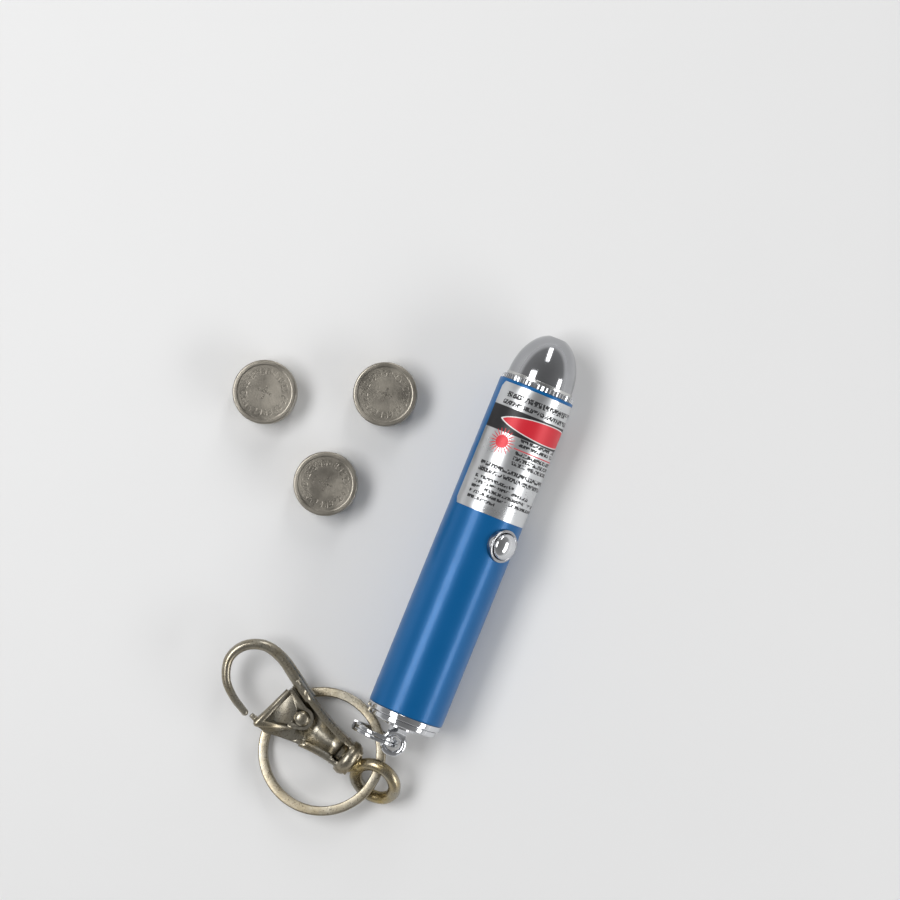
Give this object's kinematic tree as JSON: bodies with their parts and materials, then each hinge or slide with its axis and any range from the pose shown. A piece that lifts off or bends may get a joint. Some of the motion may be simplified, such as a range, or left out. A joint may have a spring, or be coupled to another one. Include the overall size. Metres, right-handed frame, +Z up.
{
  "type": "laser pointer cat toy",
  "caption": "Keychain laser pointer for cats: metal barrel with push button, domed nose, screw end cap, split rings and snap clasp, with loose button cells.",
  "frame": {"origin": "centre of the battery bay, on the barrel's axis; the surface that everything lies on is at z = -7 mm", "axes": "+X along the barrel towards the nose, +Z up, away from the surface it lies on, +Y towards the loose cells"},
  "size_m": [0.0967, 0.0583, 0.0145],
  "materials": {
    "blue_barrel": "glossy metallic blue lacquer",
    "foil": "satin silver foil with a plain black and red print",
    "chrome": "polished",
    "dark_chrome": "polished, dark",
    "satin_nickel": "satin, warm",
    "steel": "bright",
    "cell_steel": "satin",
    "brass": "machined",
    "board_green": "solder mask",
    "black_plastic": "moulded",
    "cream_plastic": "moulded",
    "liner": "smooth",
    "lens_glass": "clear",
    "rubber": "matt"
  },
  "bodies": {
    "pointer": {"barrel_tube": "blue_barrel", "barrel_label": "foil", "button_collar": "dark_chrome", "switch_body": "black_plastic", "driver_board": "board_green", "driver_components": "black_plastic", "laser_module_housing": "brass", "laser_diode": "steel", "collimator_lens": "lens_glass", "lens_retainer": "brass", "battery_sleeve": "liner", "contact_spring": "steel"},
    "nose": {"nose_cap": "dark_chrome", "nose_ring": "chrome", "nose_window": "lens_glass"},
    "button": {"push_button": "chrome"},
    "plunger": {"switch_plunger": "cream_plastic"},
    "cap": {"end_cap": "chrome", "o_ring": "rubber", "tail_spring": "steel", "cap_lug": "chrome"},
    "link_ring": {"small_split_ring": "chrome"},
    "ring": {"key_ring": "satin_nickel"},
    "swivel": {"swivel_eye": "satin_nickel"},
    "clasp": {"clasp_body": "satin_nickel", "clasp_rivet": "satin_nickel", "trigger_spring": "steel"},
    "trigger": {"clasp_trigger": "satin_nickel"},
    "cell_1": {"cell_1_can": "cell_steel", "cell_1_gasket": "cream_plastic", "cell_1_cap": "cell_steel"},
    "cell_2": {"cell_2_can": "cell_steel", "cell_2_gasket": "cream_plastic", "cell_2_cap": "cell_steel"},
    "cell_3": {"cell_3_can": "cell_steel", "cell_3_gasket": "cream_plastic", "cell_3_cap": "cell_steel"}
  },
  "joints": [
    {"name": "nose_unscrew", "type": "slide", "parent": "pointer", "child": "nose", "axis": [1, 0, 0], "range_m": [0, 0.02]},
    {"name": "button_press", "type": "slide", "parent": "pointer", "child": "button", "axis": [0, 0.6639, -0.7478], "range_m": [0, 0.0007], "stiffness_N_per_m": 1500, "springref_m": -0.0003},
    {"name": "plunger_press", "type": "slide", "parent": "pointer", "child": "plunger", "axis": [0, 0.6639, -0.7478], "range_m": [0, 0.0007]},
    {"name": "end_cap_pull", "type": "slide", "parent": "pointer", "child": "cap", "axis": [-1, 0, 0], "range_m": [0, 0.03]},
    {"name": "small_ring_swing", "type": "hinge", "parent": "cap", "child": "link_ring", "pos_m": [-0.0189, 0, 0], "axis": [0, 0, 1], "range_deg": [-4, 4]},
    {"name": "key_ring_lift", "type": "hinge", "parent": "link_ring", "child": "ring", "pos_m": [-0.0188, 0.00295, -0.00402], "axis": [0.7814, 0.624, 0], "range_deg": [0, 20]},
    {"name": "eye_swing", "type": "hinge", "parent": "ring", "child": "swivel", "pos_m": [-0.02667, 0.0007, -0.00319], "axis": [0.9937, -0.1124, 0], "range_deg": [0, 30]},
    {"name": "clasp_spin", "type": "hinge", "parent": "swivel", "child": "clasp", "pos_m": [-0.0211, 0.0169, -0.00185], "axis": [0.3246, 0.9426, 0.0785], "range_deg": [-5, 5]},
    {"name": "trigger_pull", "type": "hinge", "parent": "clasp", "child": "trigger", "pos_m": [-0.0211, 0.0169, -0.00185], "axis": [-0.0255, -0.0742, 0.9969], "range_deg": [0, 28], "stiffness_Nm_per_rad": 0.03, "springref_deg": -17.19},
    {"name": "cell_1_lift", "type": "slide", "parent": "pointer", "child": "cell_1", "axis": [0, 0, 1], "range_m": [0, 0.03]},
    {"name": "cell_2_lift", "type": "slide", "parent": "pointer", "child": "cell_2", "axis": [0, 0, 1], "range_m": [0, 0.03]},
    {"name": "cell_3_lift", "type": "slide", "parent": "pointer", "child": "cell_3", "axis": [0, 0, 1], "range_m": [0, 0.03]}
  ],
  "couplings": [
    {"joint": "plunger_press", "follows": "button_press", "ratio": 1}
  ]
}
